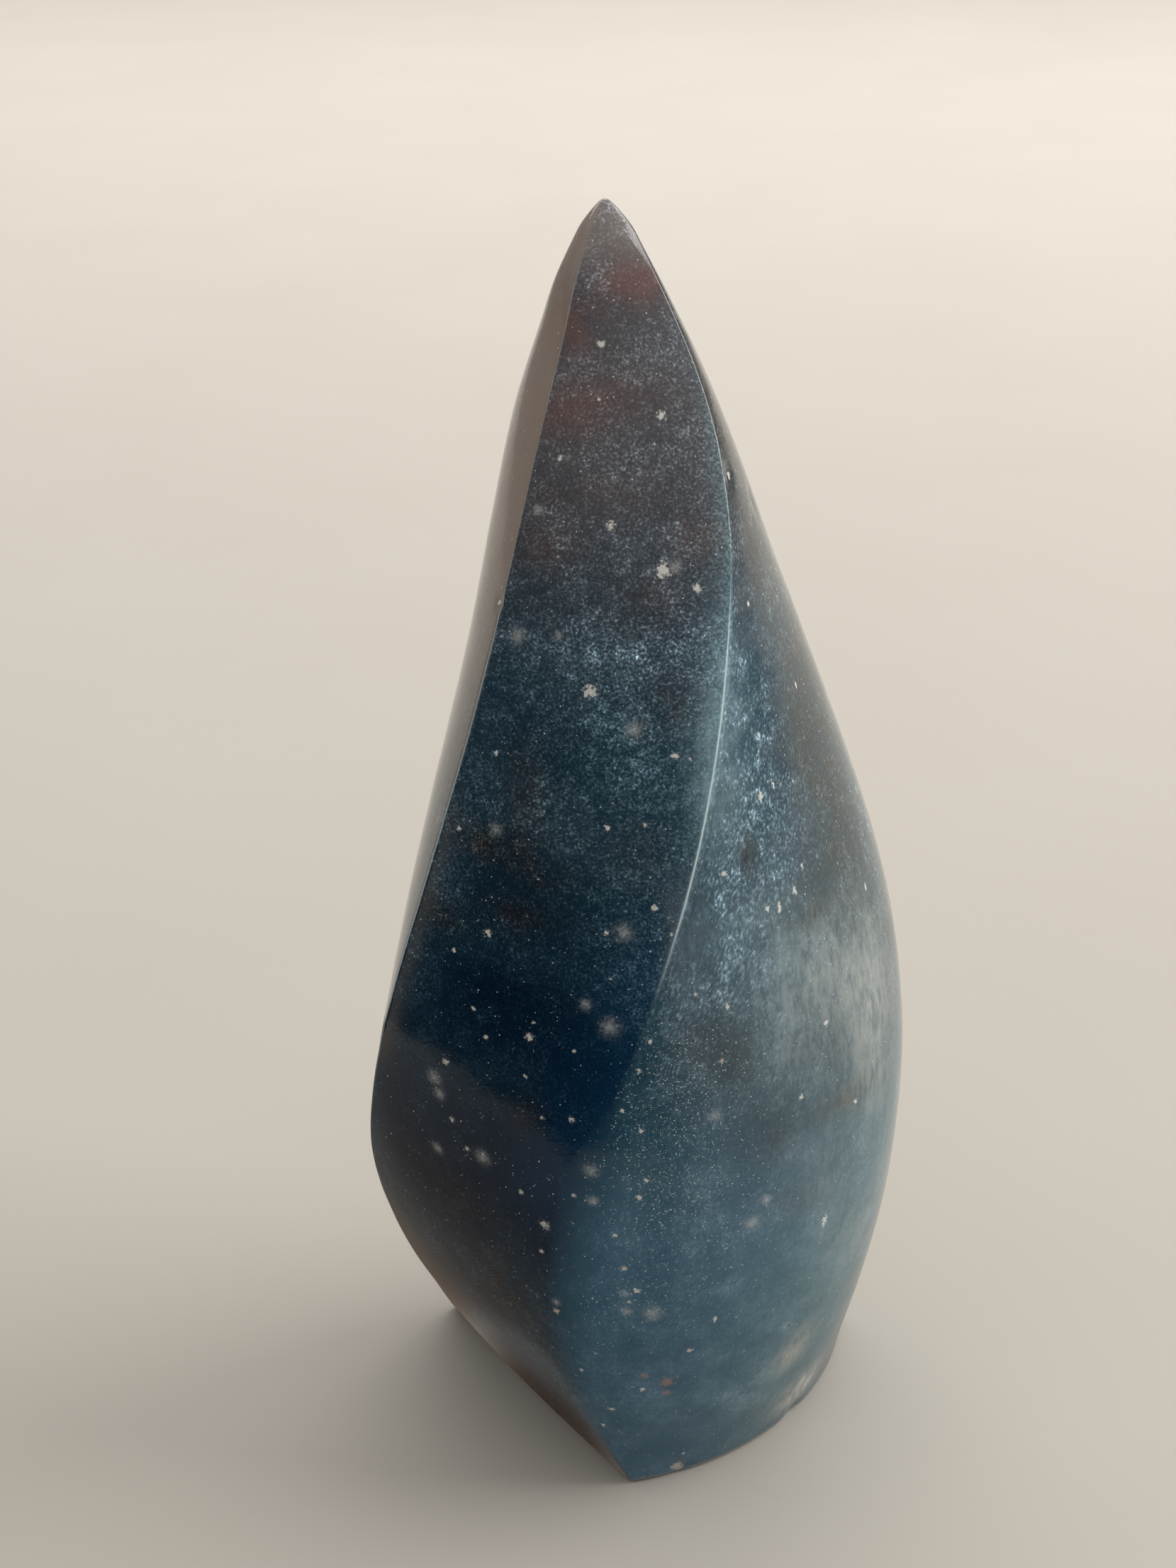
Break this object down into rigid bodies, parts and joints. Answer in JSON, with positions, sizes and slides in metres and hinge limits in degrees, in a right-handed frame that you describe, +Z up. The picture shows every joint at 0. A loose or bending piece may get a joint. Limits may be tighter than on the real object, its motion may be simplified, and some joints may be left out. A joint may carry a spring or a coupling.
{
  "type": "polished quartz flame",
  "caption": "Polished blue quartz carved as a twisted flame with spiral ridges and crowned faces, free-standing on a flat cut base.",
  "frame": {"origin": "bottom centre of the stone's bounding box, in the plane of the cut base", "axes": "+Z up through the tip end, -Y towards the side that the picture shows, +X to its right"},
  "size_m": [0.042, 0.037, 0.1],
  "materials": {
    "blue_quartz": "polished dark teal-blue quartz with fine pale grain, white specks and rusty clouds"
  },
  "bodies": {
    "root": {"flame": "blue_quartz"}
  },
  "joints": []
}
